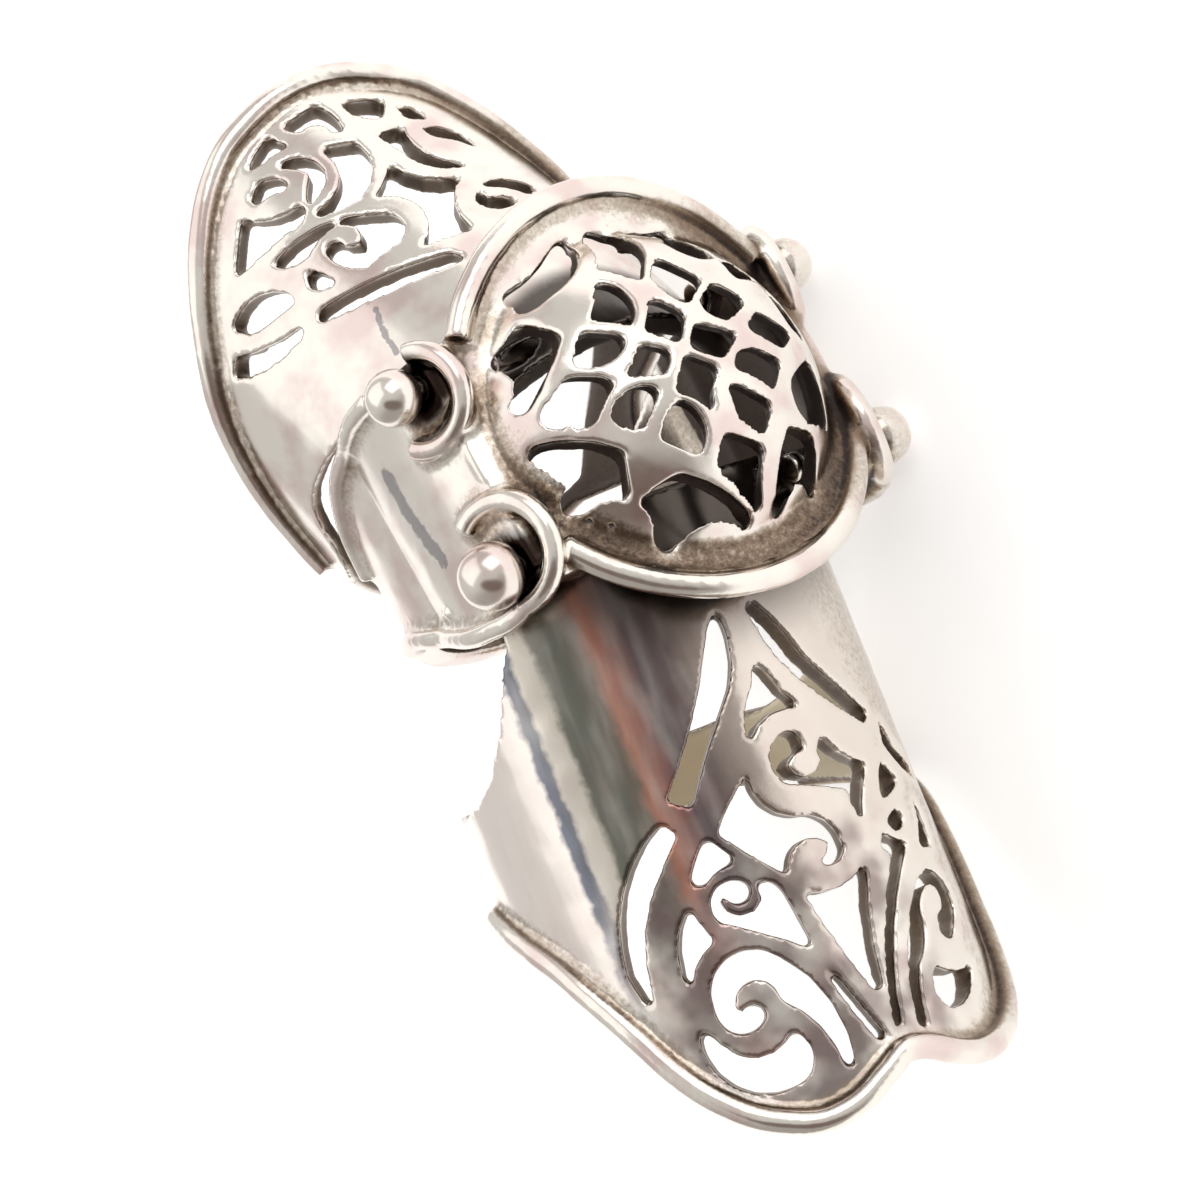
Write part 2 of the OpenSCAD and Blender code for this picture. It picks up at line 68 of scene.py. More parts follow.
ring = {
    "hingeOff": 4.9,       # each hinge from the middle
    "tipDroop": 12.6,      # degrees
    "handDroop": -25.8,
    "tubeRadius": 10.6,
    "sheet": 1.2,
    "axisDrop": 9.4,       # the finger's axis under the hinges
    "bandRadius": 11.3,
    "bandHeight": -3.55,
    "strapRadius": 10.45,
    "strapHeight": -8,
    "domeRadius": 9.9,
    "domeHeight": -2.2,
    "domeWeb": 1.1,
    "domeFoot": 9.2,       # the web's reach from the dome's middle
    "saddleTop": 3.28,
    "saddleFall": 1.65,    # how much lower the saddle is at saddleReach across
    "saddleReach": 9.2,
    "collarHollow": 2.1,   # dark inside the collars, out from each rivet
}


def inWorn(points):
    return (np.asarray(points) - wornMiddle) @ wornAxes.T / mm


def inWorld(points):
    return np.asarray(points) * mm @ wornAxes + wornMiddle


def unit(vectors):
    return vectors / np.maximum(np.linalg.norm(vectors, axis=-1, keepdims=True), 1e-9)


def smoothStep(values, low, high):
    share = np.clip((values - low) / (high - low), 0, 1)
    return share * share * (3 - 2 * share)


# the camera, from the photograph: place and axes in the worn frame
camera = {
    "place": (-200.63, -84.93, 274.07),
    "right": (0.7769, -0.4738, 0.4146),
    "up": (0.2844, 0.8516, 0.4404),
    "back": (-0.5618, -0.2242, 0.7963),
    "photoSide": 1200,
    "focalPixels": 7355.6,
}


def makeCamera():
    lens = bpy.data.cameras.new("camera")
    lens.angle = 2 * math.atan(camera["photoSide"] / 2 / camera["focalPixels"])
    lens.clip_start, lens.clip_end = 0.01, 10
    holder = bpy.data.objects.new("camera", lens)
    scene.collection.objects.link(holder)
    axes = unit(np.array([camera[key] for key in ("right", "up", "back")])) @ wornAxes
    turned = Matrix(axes.tolist()).transposed().to_4x4()
    holder.matrix_world = Matrix.Translation(Vector(inWorld(camera["place"]))) @ turned
    scene.camera = holder
    return axes


cameraAxes = makeCamera()
print("camera made")


# shader maths: a socket that adds Math nodes as it is used in sums
class Value:
    def __init__(self, paint, socket):
        self.paint = paint
        self.socket = socket

    def maths(self, operation, first, second):
        return self.paint.add("Math", {"operation": operation}, {0: first, 1: second})

    def __add__(self, other):
        return self.maths("ADD", self, other)

    def __radd__(self, other):
        return self.maths("ADD", other, self)

    def __sub__(self, other):
        return self.maths("SUBTRACT", self, other)

    def __rsub__(self, other):
        return self.maths("SUBTRACT", other, self)

    def __mul__(self, other):
        return self.maths("MULTIPLY", self, other)

    def __rmul__(self, other):
        return self.maths("MULTIPLY", other, self)


def shade(red, green, blue):
    # screen values to the renderer's own
    return tuple(((c / 255 + 0.055) / 1.055) ** 2.4 for c in (red, green, blue)) + (1.0,)


class Paint:
    def __init__(self, name, tree=None, surface="Principled BSDF"):
        self.material = None
        if tree is None:
            self.material = bpy.data.materials.new(name)
            self.material.use_nodes = True
            tree = self.material.node_tree
        self.tree = tree
        self.surface = tree.nodes[surface]

    def add(self, kind, settings=None, sockets=None, out=0):
        node = self.tree.nodes.new("ShaderNode" + kind)
        for key, value in (settings or {}).items():
            if key == "stops":
                ramp = node.color_ramp
                while len(ramp.elements) < len(value):
                    ramp.elements.new(0.5)
                for element, (place, colour) in zip(ramp.elements, value):
                    element.position, element.color = place, colour
            else:
                setattr(node, key, value)
        for key, value in (sockets or {}).items():
            self.put(node.inputs[key], value)
        return Value(self, node.outputs[out])

    def put(self, socket, value):
        if isinstance(value, Value):
            self.tree.links.new(value.socket, socket)
        else:
            socket.default_value = value

    def attribute(self, name, out="Fac"):
        return self.add("Attribute", {"attribute_name": name}, out=out)

    def noise(self, place, scale, detail=2, rough=0.5):
        sockets = {"Vector": place, "Scale": scale, "Detail": detail, "Roughness": rough}
        return self.add("TexNoise", {}, sockets)

    def step(self, value, low, high):
        sockets = {0: value, 1: low, 2: high, 3: 0.0, 4: 1.0}
        return self.add("MapRange", {"interpolation_type": "SMOOTHSTEP"}, sockets)

    def mix(self, first, second, share):
        return self.add("Mix", {"data_type": "RGBA"}, {0: share, 6: first, 7: second}, out=2)

    def finish(self, sockets):
        for key, value in sockets.items():
            self.put(self.surface.inputs[key], value)
        return self.material


silver = {
    "clean": shade(240, 234, 225),
    "rosy": shade(224, 206, 200),
    # the oxide colour is also the painted shadow's
    "oxide": shade(46, 36, 32),
    "brown": shade(122, 101, 84),
    "olive": shade(160, 145, 126),
    "tan": shade(226, 214, 190),
    "dark": shade(66, 53, 47),
    "wall": shade(118, 104, 92),
    "plum": shade(112, 90, 90),
    "steel": shade(112, 113, 122),
    "roughness": 0.2,
}

# the fingertip plate's left flank in bands, part stain and part painted reflection of the surroundings: place
# round the tube in mm, colour
tipStainAndReflection = [
    [-15.0, (252, 243, 236)],
    [-13.1, (248, 238, 230)],
    [-12.8, (104, 110, 126)],
    [-12.2, (110, 114, 124)],
    [-11.9, (232, 224, 212)],
    [-11.0, (224, 216, 202)],
    [-10.6, (112, 114, 104)],
    [-9.3, (100, 102, 92)],
    [-8.5, (114, 102, 90)],
    [-7.9, (186, 120, 98)],
    [-7.0, (146, 96, 88)],
    [-6.2, (88, 72, 78)],
    [-4.9, (102, 86, 86)],
    [-3.4, (170, 154, 144)],
    [-1.5, (220, 208, 198)],
    [6.0, (238, 230, 220)],
]
bandEnds = {
    "tip": -22.5,          # along the tube, toward the fingertip
    "full": -15.0,
    "past": 0.25,          # what is left of the bands past their end
    "cover": 0.92,
    "waver": 0.9,          # mm round the tube
    "waverAlong": 5,
    "waverSize": 0.9,
    "draw": (1, 0.22, 1),  # the patches are drawn out along the tube
    "patchSize": 0.9,
    "patch": (0.25, 0.65),
    "patchShare": 0.3,
}
# the darker blotches on the lower scrolls
blotches = {
    "fade": 3,             # mm along the tube
    "left": (-12.5, -10.5),
    "right": (4, 1),
    "size": 0.42,
    "range": (0.34, 0.62),
    "share": 0.7,
}
# noise sizes, and ranges from where a tone starts to where it is full
tones = {
    "cloudSize": 0.32,
    "cloud": (0.42, 0.68),
    "grainSize": 7.0,
    "speckleSize": 3.4,
    "fineSize": 15.0,
    "olive": (0.1, 0.42),
    "oliveShare": 0.75,
    "brown": (0.3, 0.68),
    "brownShare": 0.85,
    "oxide": (0.55, 1.15),
    "stainSize": 1.5,
    "stain": (0.32, 0.58),
    "stainEdge": (0, 0.2),
    "stainShare": 0.65,
    "hollowShare": 0.92,
    "bumpDepth": 0.02,     # mm
    "dullRough": 0.45,
    "grainRough": 0.14,
    "dullMetal": 0.6,
}
# what each kind of hollow adds to the dirt; the flank adds painted shade on the wires' sides and over the ring's
# right side
darkeningShares = {"recess": 1.05, "crease": 0.55, "flank": 0.55, "speckle": 0.5, "speckleInRecess": 1.6}


def bandsOver(paint, clean, bands, place, bare):
    # the coloured bands of the left flank, part stain and part painted reflection, and the blotches beyond them,
    # where no wire is
    lay = paint.attribute("lay", "Vector")
    around = paint.add("SeparateXYZ", {}, {0: lay}, out=0)
    along = paint.add("SeparateXYZ", {}, {0: lay}, out=1)
    low, high = bands[0][0], bands[-1][0]
    wobble = paint.noise(lay, bandEnds["waverSize"], 4) - 0.5
    share = (around + wobble * bandEnds["waver"] - low) * (1 / (high - low))
    stops = [((at - low) / (high - low), shade(*colour)) for at, colour in bands]
    stainAndReflection = paint.add("ValToRGB", {"stops": stops}, {0: share})
    drawn = paint.add("VectorMath", {"operation": "MULTIPLY"}, {0: lay, 1: bandEnds["draw"]}, out="Vector")
    patchy = paint.step(paint.noise(drawn, bandEnds["patchSize"], 2, 0.45), *bandEnds["patch"])
    reach = paint.step(along + wobble * bandEnds["waverAlong"], bandEnds["tip"], bandEnds["full"])
    reach = reach * (1 - bandEnds["past"]) + bandEnds["past"]
    cover = (1 - bandEnds["patchShare"] + patchy * bandEnds["patchShare"]) * bandEnds["cover"]
    clean = paint.mix(clean, stainAndReflection, bare * reach * cover)
    lower = paint.step(along, bandEnds["full"], bandEnds["full"] - blotches["fade"])
    lower = lower * paint.step(around, *blotches["left"]) * paint.step(around, *blotches["right"]) * bare
    blotch = paint.step(paint.noise(place, blotches["size"], 2, 0.45), *blotches["range"])
    return paint.mix(clean, silver["plum"], blotch * lower * blotches["share"])


def silverPaint(name, bands=None, hollow=silver["dark"], wallTone=silver["wall"]):
    paint = Paint(name)
    place = paint.attribute("place", "Vector")
    recess = paint.attribute("recess")
    stain = paint.attribute("stain")
    cloud = paint.step(paint.noise(place, tones["cloudSize"], 3), *tones["cloud"])
    colour = paint.mix(silver["clean"], silver["rosy"], cloud)
    if bands:
        colour = bandsOver(paint, colour, bands, place, 1 - paint.attribute("wire"))
    grain = paint.noise(place, tones["grainSize"], 4, 0.65)
    speckle = paint.noise(place, tones["speckleSize"], 5, 0.75) - 0.5
    # hollows and creases darken with patina, the flank with painted shade on the wires' sides and the right side
    darkening = recess * darkeningShares["recess"] + paint.attribute("crease") * darkeningShares["crease"]
    darkening = darkening + paint.attribute("flank") * darkeningShares["flank"]
    darkening = darkening + speckle * (darkeningShares["speckle"] + recess * darkeningShares["speckleInRecess"])
    colour = paint.mix(colour, silver["olive"], paint.step(darkening, *tones["olive"]) * tones["oliveShare"])
    colour = paint.mix(colour, silver["brown"], paint.step(darkening, *tones["brown"]) * tones["brownShare"])
    ragged = (paint.noise(place, tones["stainSize"], 5, 0.7) - 0.5) * 1.5
    patch = paint.step(stain * 0.8 + ragged, *tones["stain"]) * paint.step(stain, *tones["stainEdge"])
    colour = paint.mix(colour, silver["steel"], patch * tones["stainShare"])
    # oxide in deep hollows, partly painted shade where the flank adds to it
    dirtAndShade = paint.step(darkening, *tones["oxide"])
    colour = paint.mix(colour, silver["oxide"], dirtAndShade)
    # painted shade: the inside, facing the finger, and the hollow under the dome take the hollow tone, dark but
    # for the fingertip plate's tan
    inside = paint.attribute("inside")
    wall = paint.attribute("wall")
    colour = paint.mix(colour, hollow, inside * tones["hollowShare"])
    colour = paint.mix(colour, wallTone, wall * tones["hollowShare"])
    # painted shadow: near black where the shadow mask is
    colour = paint.mix(colour, silver["oxide"], paint.attribute("shadow"))
    dull = dirtAndShade * 0.6 + wall * 0.5 + inside * 0.5
    rough = silver["roughness"] + dull * tones["dullRough"] + (grain - 0.5) * tones["grainRough"]
    fine = paint.noise(place, tones["fineSize"], 3, 0.6)
    height = grain * (dirtAndShade * 2.5 + recess * 2) + fine * 0.2
    bump = paint.add("Bump", {}, {"Strength": 0.4, "Distance": tones["bumpDepth"] * mm, "Height": height})
    metal = 1 - paint.step(dull, 0.1, 1.0) * tones["dullMetal"]
    return paint.finish({"Base Color": colour, "Metallic": metal, "Roughness": rough, "Normal": bump})


def nodeMesh(node):
    # a CAD node's vertices in the worn frame and its faces
    mesh = frame["nodes"][node].data
    points = np.zeros(len(mesh.vertices) * 3)
    mesh.vertices.foreach_get("co", points)
    return inWorn(points.reshape(-1, 3)), [tuple(face.vertices) for face in mesh.polygons]


shapes = {node: nodeMesh(node) for node in frame["nodes"]}


def allTogether(parts):
    points, faces, count = [], [], 0
    for somePoints, someFaces in parts:
        points.append(somePoints)
        faces += [tuple(corner + count for corner in face) for face in someFaces]
        count += len(somePoints)
    return np.vstack(points), faces


def fused(name, parts, grid):
    # one skin of even quads round everything that touches, as soldered and polished metal has
    points, faces = allTogether(parts)
    mesh = bpy.data.meshes.new(name)
    mesh.from_pydata(points.tolist(), [], faces)
    thing = bpy.data.objects.new(name + "_raw", mesh)
    scene.collection.objects.link(thing)
    skin = thing.modifiers.new("skin", "REMESH")
    skin.mode = "VOXEL"
    skin.voxel_size = grid
    made = bpy.data.meshes.new_from_object(thing.evaluated_get(bpy.context.evaluated_depsgraph_get()))
    bpy.data.objects.remove(thing)
    bpy.data.meshes.remove(mesh)
    made.name = name
    return made


def relaxed(points, edges, rounds, forth=0.5, back=-0.52):
    count = len(points)
    first, second = edges[:, 0], edges[:, 1]
    share = np.bincount(first, minlength=count) + np.bincount(second, minlength=count)
    share = np.maximum(share, 1)[:, None]
    for step in [forth, back] * rounds if back else [forth] * rounds:
        mean = []
        for k in range(points.shape[1]):
            ahead = np.bincount(first, points[second, k], count)
            mean.append(ahead + np.bincount(second, points[first, k], count))
        points = points + step * (np.stack(mean, axis=1) / share - points)
    return points


def arrays(mesh):
    points = np.zeros(len(mesh.vertices) * 3)
    mesh.vertices.foreach_get("co", points)
    edges = np.zeros(len(mesh.edges) * 2, int)
    mesh.edges.foreach_get("vertices", edges)
    return points.reshape(-1, 3), edges.reshape(-1, 2)


def normalsOf(mesh, points):
    mesh.vertices.foreach_set("co", points.ravel())
    mesh.update()
    normals = np.zeros(len(mesh.vertices) * 3)
    mesh.vertex_normals.foreach_get("vector", normals)
    return normals.reshape(-1, 3)


# wires: round, soldered on the sheet; rims go round a plate's tube: [round the tube, along it], in mm
wire = {
    "radius": 0.62,
    "sides": 18,
    "proud": 0.2,          # a rim wire's centre over the sheet's skin
    "saddleRadius": 10.32,
    "saddleShift": 0.1,
    "saddleProud": 0.1,
    "saddleArcs": [[28, 146.5], [210, 348]],
    "edgeRadius": 0.52,
    "edgeProud": 0.1,
    "stepsBetween": 6,
    "near": 0.2,           # past its radius, what still counts as wire
}
tipRim = [
    [-21.2, -14.6], [-19, -16], [-16.5, -18], [-14.7, -20.2], [-13.2, -22.4], [-11.9, -24.6],
    [-10.5, -26.5], [-9, -27.9], [-7.5, -28.8], [-5.9, -29.3], [-4.1, -29.1], [-2.4, -28.3],
    [-1.1, -27.7], [0.2, -28], [1.6, -28.7], [3.1, -29.1], [4.7, -29], [6.1, -28.5], [7.4, -27.7],
    [8.6, -26.7], [9.6, -25.5], [10.4, -24], [11, -22.3], [11.5, -20.4], [12.1, -18.6], [13, -17],
    [14.6, -15.7], [17.4, -14.6], [21.2, -13.6],
]
handRim = [
    [-24, 6.2], [-22, 9.1], [-20.1, 11.2], [-18.2, 13], [-15.7, 14.8], [-13.8, 16.3], [-11.9, 17.8],
    [-9.8, 19.3], [-7.5, 20.5], [-5.1, 21], [-2.9, 21.2], [-0.6, 20.9], [1.3, 20.2], [3.3, 19.3],
    [4.9, 17.9], [6.3, 16.3], [7.6, 14.5], [9.2, 13], [11.3, 11.9], [13.8, 11], [16.4, 10.2],
    [19, 9.3], [21.7, 8], [24, 6.2],
]
# the band's edge wires: [along the finger, height over the hinges]
bandEdges = [
    [[-6.85, -0.4], [-6.8, -1.6], [-6.55, -2.8], [-5.95, -5], [-4.55, -8.2], [-3.35, -11.2], [-3.25, -13]],
    [[6.05, -2.6], [5.95, -5.5], [5.05, -9.6], [3.15, -12.4], [1.15, -13.8]],
]


def smoothLine(rows):
    # a curve through rows of points
    rows = np.array(rows, float)
    past = np.vstack([rows[:1], rows, rows[-1:]])
    steps = wire["stepsBetween"]
    line = []
    for k in range(len(rows) - 1):
        a, b, c, d = past[k:k + 4]
        for t in np.arange(steps) / steps:
            line.append(0.5 * (2 * b + (c - a) * t + (2 * a - 5 * b + 4 * c - d) * t ** 2
                               + (3 * b - a - 3 * c + d) * t ** 3))
    return np.array(line + [rows[-1]])


def fromTube(rows, droop, side, radius):
    # rows of places round and along an end plate's tube, as worn
    rows = smoothLine(rows)
    angle = rows[:, 0] / ring["tubeRadius"]
    own = np.stack([radius * np.sin(angle), rows[:, 1], radius * np.cos(angle) - ring["axisDrop"]], axis=1)
    return turned(own, -droop) + [0, side * ring["hingeOff"], 0]


def bandAcross(height):
    # half the band's width at a height over the hinges
    upper = ring["bandRadius"] ** 2 - (height - ring["bandHeight"]) ** 2
    lower = ring["strapRadius"] ** 2 - (height - ring["strapHeight"]) ** 2
    return np.sqrt(np.where(height < ring["strapHeight"], lower, upper))


def edgeLine(rows, side):
    rows = smoothLine(rows)
    return np.stack([side * (bandAcross(rows[:, 1]) + wire["edgeProud"]), rows[:, 0], rows[:, 1]], axis=1)


def saddleLine(first, last):
    turn = np.radians(np.linspace(first, last, 60))
    x = wire["saddleRadius"] * np.cos(turn)
    fall = ring["saddleFall"] * (x / ring["saddleReach"]) ** 2
    return np.stack([x, wire["saddleShift"] + (wire["saddleRadius"] + 0.3) * np.sin(turn),
                     ring["saddleTop"] + wire["saddleProud"] - fall], axis=1)


def roundWire(line, radius):
    # a closed tube round a line
    ahead = unit(np.gradient(line, axis=0))
    side = unit(np.cross(ahead, [0.31, 0.42, 0.85]))
    up = np.cross(side, ahead)
    count = wire["sides"]
    points = []
    for k in range(count):
        turn = 2 * math.pi * k / count
        points.append(line + radius * (math.cos(turn) * side + math.sin(turn) * up))
    points = np.stack(points, axis=1).reshape(-1, 3)
    faces = [tuple(range(count)), tuple(reversed(range(len(points) - count, len(points))))]
    for row in range(len(line) - 1):
        for k in range(count):
            nextK = (k + 1) % count
            low, high = row * count, (row + 1) * count
            faces.append((low + k, high + k, high + nextK, low + nextK))
    return points, faces


def nearLine(points, lines):
    # how far each point is from the closest point of some lines
    tree = KDTree(sum(len(line) for line in lines))
    for k, spot in enumerate(np.vstack(lines)):
        tree.insert(spot, k)
    tree.balance()
    return np.array([tree.find(p)[2] for p in points.tolist()])


allPoints, allFaces = allTogether(shapes.values())
everything = BVHTree.FromPolygons(allPoints.tolist(), allFaces)
rays = {"count": 14, "reach": 1.7, "clear": 0.13, "turn": 2.39996}


def hidden(points, normals):
    # how much of what each point faces is closed off by nearby metal
    side = unit(np.cross(normals, np.where(np.abs(normals[:, :1]) < 0.8, [[1.0, 0, 0]], [[0, 1.0, 0]])))
    other = np.cross(normals, side)
    starts = [tuple(p) for p in points + normals * rays["clear"]]
    closed = np.zeros(len(points))
    for k in range(rays["count"]):
        spread = math.sqrt((k + 0.5) / rays["count"])
        turn = k * rays["turn"]
        aside = math.cos(turn) * side + math.sin(turn) * other
        ways = normals * math.sqrt(1 - spread ** 2) + spread * aside
        for i, way in enumerate(ways.tolist()):
            far = everything.ray_cast(starts[i], way, rays["reach"])[3]
            if far is not None:
                closed[i] += 1 - far / rays["reach"] * 0.7
    return closed / rays["count"]


def turned(points, degrees):
    # turned back by degrees round the finger's x
    angle = math.radians(degrees)
    out = points.copy()
    out[:, 1] = points[:, 1] * math.cos(angle) + points[:, 2] * math.sin(angle)
    out[:, 2] = -points[:, 1] * math.sin(angle) + points[:, 2] * math.cos(angle)
    return out


# mm under the outer skin where a gap's wall turns dark
darkWall = {"from": 0.1, "to": 0.38, "spare": 0.25}


def onPlate(points, normals, droop, side):
    # place round and along an end plate's tube, how deep in a gap's wall, and how much it faces the finger
    own = turned(points - [0, side * ring["hingeOff"], 0], droop)
    ownNormals = turned(normals, droop)
    height = own[:, 2] + ring["axisDrop"]
    out = np.hypot(own[:, 0], height)
    facing = (ownNormals[:, 0] * own[:, 0] + ownNormals[:, 2] * height) / np.maximum(out, 0.1)
    around = ring["tubeRadius"] * np.arctan2(own[:, 0], height)
    lay = np.stack([around, own[:, 1], out - ring["tubeRadius"]], axis=1)
    under = ring["tubeRadius"] - out
    within = (under < ring["sheet"] + darkWall["spare"]) & (np.abs(facing) < 0.75)
    wall = smoothStep(under, darkWall["from"], darkWall["to"]) * within
    # painted shade: what faces the finger counts as inside and takes the hollow tone
    inside = smoothStep(-facing, 0.4, 0.8)
    return lay, wall, inside, facing


def onKnuckle(points, normals):
    fromDome = points - [0, 0, ring["domeHeight"]]
    out = np.linalg.norm(fromDome, axis=1)
    facing = (normals * fromDome).sum(1) / out
    flat = np.hypot(points[:, 0], points[:, 1])
    saddle = ring["saddleTop"] - ring["saddleFall"] * (points[:, 0] / ring["saddleReach"]) ** 2
    web = (flat < ring["domeFoot"]) & (points[:, 2] > saddle - darkWall["spare"])
    wall = smoothStep(ring["domeRadius"] - out, darkWall["from"], darkWall["to"]) * web
    fromBand = points - [0, 0, ring["bandHeight"]]
    fromBand[:, 1] = 0
    across = np.linalg.norm(fromBand, axis=1)
    bandFacing = (normals * fromBand).sum(1) / across
    # painted shade: the band's inner face and the hollow under the dome count as inside
    inside = smoothStep(-bandFacing, 0.3, 0.7) * (across < ring["bandRadius"] - 0.5)
    underDome = (flat < ring["domeFoot"]) & (points[:, 2] < saddle - darkWall["spare"]) & (points[:, 2] > 0)
    inside = np.maximum(inside, underDome)
    around = ring["bandRadius"] * np.arctan2(points[:, 0], points[:, 2] - ring["bandHeight"])
    lay = np.stack([around, points[:, 1], out - ring["domeRadius"]], axis=1)
    return lay, wall, inside, np.where(points[:, 2] > 1, normals[:, 2], np.abs(normals[:, 0]))


def onRivet(points, normals):
    none = np.zeros(len(points))
    return points.copy(), none, none, none


# painted shadow under the dome, past the dome's rim and inside the collars, and dirt in the trough round the web
soilAndShadow = {
    "domeReach": 8.9,
    "domeSoft": 1.1,
    "domeLow": -3.0,
    "rimFrom": 9.4,
    "rimTo": 13.4,
    "rimDark": 0.8,
    "troughInner": 8.5,
    "troughOuter": 9.9,
    "trough": 0.03,
    "troughTip": 0.4,      # more of it toward the fingertip
}


def shadowed(points, node):
    # painted shadow, near black: an end plate's cap under the dome and past its rim, the hollow behind each ball
    # head
    if node == "knuckle":
        return collarShade(points)
    flat = np.hypot(points[:, 0], points[:, 1])
    cap = 1 - smoothStep(flat, soilAndShadow["domeReach"] - soilAndShadow["domeSoft"], soilAndShadow["domeReach"])
    dark = cap * (points[:, 2] > soilAndShadow["domeLow"]) * 0.9
    if node == "tip_plate":
        past = (1 - smoothStep(flat, soilAndShadow["rimFrom"], soilAndShadow["rimTo"])) * smoothStep(points[:, 2], -5, -1)
        dark = np.maximum(dark, past * soilAndShadow["rimDark"])
    return dark * node.endswith("plate")


def soiled(points, node):
    # added to the recess
    if node != "knuckle":
        return np.zeros(len(points))
    flat = np.hypot(points[:, 0], points[:, 1])
    trough = smoothStep(flat, soilAndShadow["troughInner"] - 0.5, soilAndShadow["troughInner"]) * (points[:, 2] > 1)
    trough = trough * (1 - smoothStep(flat, soilAndShadow["troughOuter"] - 0.4, soilAndShadow["troughOuter"]))
    tipward = smoothStep(-points[:, 1] - points[:, 0] * 0.5, 0, 8)
    return trough * (soilAndShadow["trough"] + soilAndShadow["troughTip"] * tipward)


# the long dark streak on the band's left flank and the scratch beside the hand plate's slot: round, along
streaks = {
    "knuckle": {
        "line": [[-18.9, 2.8], [-19.0, 1.1], [-18.6, -0.8], [-18.2, -2.1]],
        "half": 0.12,
        "soft": 0.8,
    },
    "hand_plate": {"line": [[-7.9, 7.5], [-8.4, 6.2], [-8.7, 4.9]], "half": 0.08, "soft": 0.2},
}
# beads of solder and small pits: x, y, z as worn, radius, how far they stand out
spots = [
    [-10.99, -4.1, -6.18, 0.3, 0.22],
    [-10.85, -4.11, -6.69, 0.3, 0.22],
    [-7.39, -4.73, 2.39, 0.16, -0.12],
    [-6.65, -5.42, 2.73, 0.16, -0.12],
    [-2.77, -7.97, 2.98, 0.16, -0.12],
    [-1.78, -8.23, 3.02, 0.16, -0.12],
    [-11.37, -2.0, 2.76, 0.2, -0.16],
]


def streaked(node, lay):
    if node not in streaks:
        return np.zeros(len(lay))
    row = streaks[node]
    line = smoothLine(row["line"])
    flat = np.c_[lay[:, :2], np.zeros(len(lay))]
    far = nearLine(flat, [np.c_[line, np.zeros(len(line))]])
    return 1 - smoothStep(far, row["half"], row["half"] + row["soft"])


def spotted(points, normals):
    # pushes the beads out and the pits in, and tells how dark a pit is
    stain = np.zeros(len(points))
    for x, y, z, radius, push in spots:
        near = 1 - smoothStep(np.linalg.norm(points - [x, y, z], axis=1), radius * 0.3, radius * 1.4)
        points = points + normals * (near * push)[:, None]
        stain = np.maximum(stain, near * (push < 0))
    return points, stain


def roundedFlank(points):
    # the flats under the ball heads are only round the collars: elsewhere the band is round
    short = bandAcross(points[:, 2]) - np.abs(points[:, 0])
    clear = [np.hypot(points[:, 1] - row * ring["hingeOff"], points[:, 2]) for row in (-1, 1)]
    clear = np.min(clear, axis=0)
    onFlat = (np.abs(points[:, 0]) > flats["from"]) * (points[:, 2] < flats["under"])
    push = np.clip(short, 0, flats["deep"]) * onFlat
    push = push * smoothStep(clear, *flats["clear"])
    return points + np.stack([np.sign(points[:, 0]) * push, 0 * push, 0 * push], axis=1)


def collarShade(points):
    # painted shadow inside the collars, behind the ball heads
    shadeOf = np.zeros(len(points))
    for row in (-1, 1):
        off = np.hypot(points[:, 1] - row * ring["hingeOff"], points[:, 2])
        deep = 1 - smoothStep(off, ring["collarHollow"] - 0.6, ring["collarHollow"])
        across = np.abs(points[:, 0])
        shadeOf = np.maximum(shadeOf, deep * (across > 8) * (across < 11.4))
    return shadeOf


flats = {"deep": 0.3, "from": 10.8, "under": -0.8, "clear": [3.1, 3.9]}
# painted shade: the ring's right side darker, the wires most
rightShade = {"from": 0.5, "to": 8.0, "sheet": 0.6, "wire": 1.35, "ball": 0.7}      # over the ring's right side
handWork = {"wobble": 0.03, "wobbleSize": 1.6, "grain": 0.045, "grainSize": 0.32}   # mm


def roughened(points, normals, amount, size, share):
    raised = np.array([noise.noise(Vector(p)) for p in (points / size).tolist()])
    return points + normals * (raised * amount * share)[:, None]


# smoothing rounds, how round the bars between the gaps are worn, and what comes off each side of one in mm
worn = {
    "polish": 16,
    "soften": 2,
    "web": {"round": 16, "spread": 9, "share": 0.9, "off": 0.27},
    "plate": {"round": 12, "spread": 6, "share": 0.6, "off": 0.03},
    "foot": [7.2, 7.6, 8.7, 9.1],      # where the web stands, from the dome's middle
    "footLow": 1.0,
    "fillet": 18,
    "hollow": 0.03,        # mm
    "groove": 0.06,
    "wideGroove": 0.35,
}


def triangles(mesh):
    return sum(len(face.vertices) - 2 for face in mesh.polygons)


def thinned(mesh, most):
    # fewer triangles, and they go first where the metal is even; stays inside the CAD's box
    if triangles(mesh) > most:
        name = mesh.name
        thing = bpy.data.objects.new(name + "_dense", mesh)
        scene.collection.objects.link(thing)
        thing.modifiers.new("thin", "DECIMATE").ratio = most / triangles(mesh)
        made = bpy.data.meshes.new_from_object(thing.evaluated_get(bpy.context.evaluated_depsgraph_get()))
        bpy.data.objects.remove(thing)
        bpy.data.meshes.remove(mesh)
        mesh = made
        mesh.name = name
    points = np.clip(arrays(mesh)[0], np.array(cadBox[0]), np.array(cadBox[1]))
    mesh.vertices.foreach_set("co", points.ravel())
    return mesh


def evened(values, edges, rounds):
    # one number a point, smoothed over its neighbours
    return relaxed(values[:, None], edges, rounds, 0.5, 0)[:, 0]


